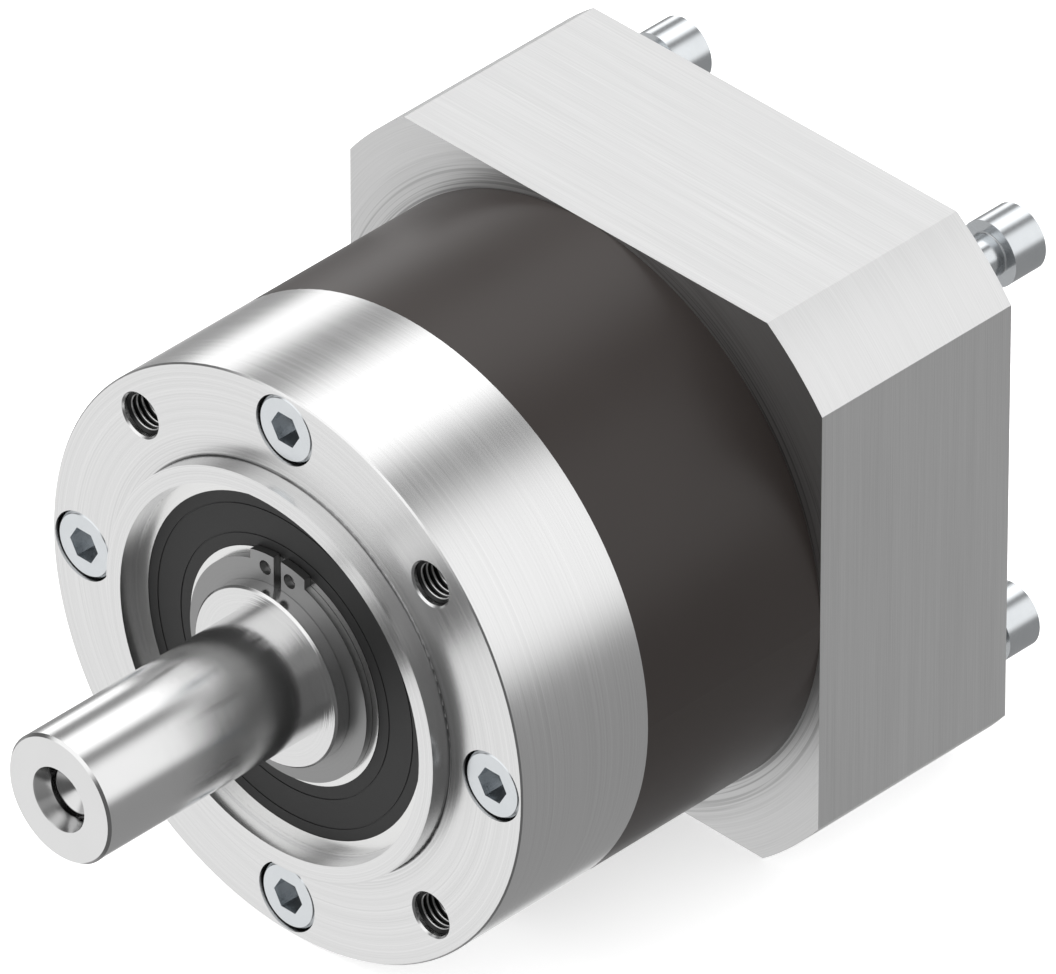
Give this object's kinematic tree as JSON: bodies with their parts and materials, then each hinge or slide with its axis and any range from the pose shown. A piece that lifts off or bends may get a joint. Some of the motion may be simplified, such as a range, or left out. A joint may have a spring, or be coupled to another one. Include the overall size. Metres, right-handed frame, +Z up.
{
  "type": "planetary gearbox",
  "caption": "Coaxial planetary gearbox with a round output flange, smooth shaft and square motor block that takes a servo motor.",
  "frame": {"origin": "centre of the output flange's face, on the axis", "axes": "-Y along the output shaft, away from the gearbox; +Y towards the motor; +Z up, +X to the right seen from the shaft"},
  "size_m": [0.115, 0.1959, 0.115],
  "materials": {
    "flange_metal": "turned, fine circular marks",
    "housing_black": "smooth satin, dark brown-grey",
    "block_metal": "fine straight brushing",
    "screw_zinc": "zinc plated, bluish",
    "shaft_steel": "ground and polished",
    "bearing_steel": "ground",
    "seal_rubber": "matte",
    "ring_steel": "phosphated spring steel",
    "gear_steel": "ground teeth, oiled",
    "cage_steel": "pressed sheet",
    "plug_steel": "dull grey"
  },
  "bodies": {
    "housing": {"output_flange": "flange_metal", "ring_gear_housing": "housing_black", "motor_block": "block_metal", "tie_screws": "screw_zinc", "motor_screws": "screw_zinc", "front_o_ring": "seal_rubber", "rear_o_ring": "seal_rubber", "access_plug": "plug_steel", "front_bearing_outer_ring": "bearing_steel", "front_bearing_seals": "seal_rubber", "second_bearing_outer_ring": "bearing_steel", "input_bearing_outer_ring": "bearing_steel", "input_circlip": "ring_steel", "input_shaft_seal": "seal_rubber"},
    "output": {"output_shaft": "shaft_steel", "shaft_circlip": "ring_steel", "front_bearing_inner_ring": "bearing_steel", "second_bearing_inner_ring": "bearing_steel", "planet_pins": "shaft_steel", "planet_needles": "bearing_steel", "thrust_washers": "bearing_steel"},
    "planet_1": {"planet_gear_1": "gear_steel"},
    "planet_2": {"planet_gear_2": "gear_steel"},
    "planet_3": {"planet_gear_3": "gear_steel"},
    "input": {"sun_gear": "gear_steel", "clamp_hub": "shaft_steel", "clamp_ring": "gear_steel", "clamp_screw": "screw_zinc", "input_bearing_inner_ring": "bearing_steel"},
    "front_ball_set": {"front_bearing_balls": "bearing_steel", "front_bearing_cage": "cage_steel"},
    "second_ball_set": {"second_bearing_balls": "bearing_steel", "second_bearing_cage": "cage_steel"},
    "input_ball_set": {"input_bearing_balls": "bearing_steel", "input_bearing_cage": "cage_steel"}
  },
  "joints": [
    {"name": "output_turn", "type": "hinge", "parent": "housing", "child": "output", "pos_m": [0, 0, 0], "axis": [0, -1, 0], "continuous": true},
    {"name": "planet_1_turn", "type": "hinge", "parent": "output", "child": "planet_1", "pos_m": [0, 0, 0.02625], "axis": [0, -1, 0], "continuous": true},
    {"name": "planet_2_turn", "type": "hinge", "parent": "output", "child": "planet_2", "pos_m": [-0.02273, 0, -0.01312], "axis": [0, -1, 0], "continuous": true},
    {"name": "planet_3_turn", "type": "hinge", "parent": "output", "child": "planet_3", "pos_m": [0.02273, 0, -0.01312], "axis": [0, -1, 0], "continuous": true},
    {"name": "input_turn", "type": "hinge", "parent": "housing", "child": "input", "pos_m": [0, 0, 0], "axis": [0, -1, 0], "continuous": true},
    {"name": "front_ball_set_turn", "type": "hinge", "parent": "housing", "child": "front_ball_set", "pos_m": [0, 0, 0], "axis": [0, -1, 0], "continuous": true},
    {"name": "second_ball_set_turn", "type": "hinge", "parent": "housing", "child": "second_ball_set", "pos_m": [0, 0, 0], "axis": [0, -1, 0], "continuous": true},
    {"name": "input_ball_set_turn", "type": "hinge", "parent": "housing", "child": "input_ball_set", "pos_m": [0, 0, 0], "axis": [0, -1, 0], "continuous": true}
  ],
  "couplings": [
    {"joint": "planet_1_turn", "follows": "output_turn", "ratio": -2.6667},
    {"joint": "planet_2_turn", "follows": "output_turn", "ratio": -2.6667},
    {"joint": "planet_3_turn", "follows": "output_turn", "ratio": -2.6667},
    {"joint": "input_turn", "follows": "output_turn", "ratio": 5},
    {"joint": "front_ball_set_turn", "follows": "output_turn", "ratio": 0.39626},
    {"joint": "second_ball_set_turn", "follows": "output_turn", "ratio": 0.42685},
    {"joint": "input_ball_set_turn", "follows": "output_turn", "ratio": 2.1912}
  ]
}
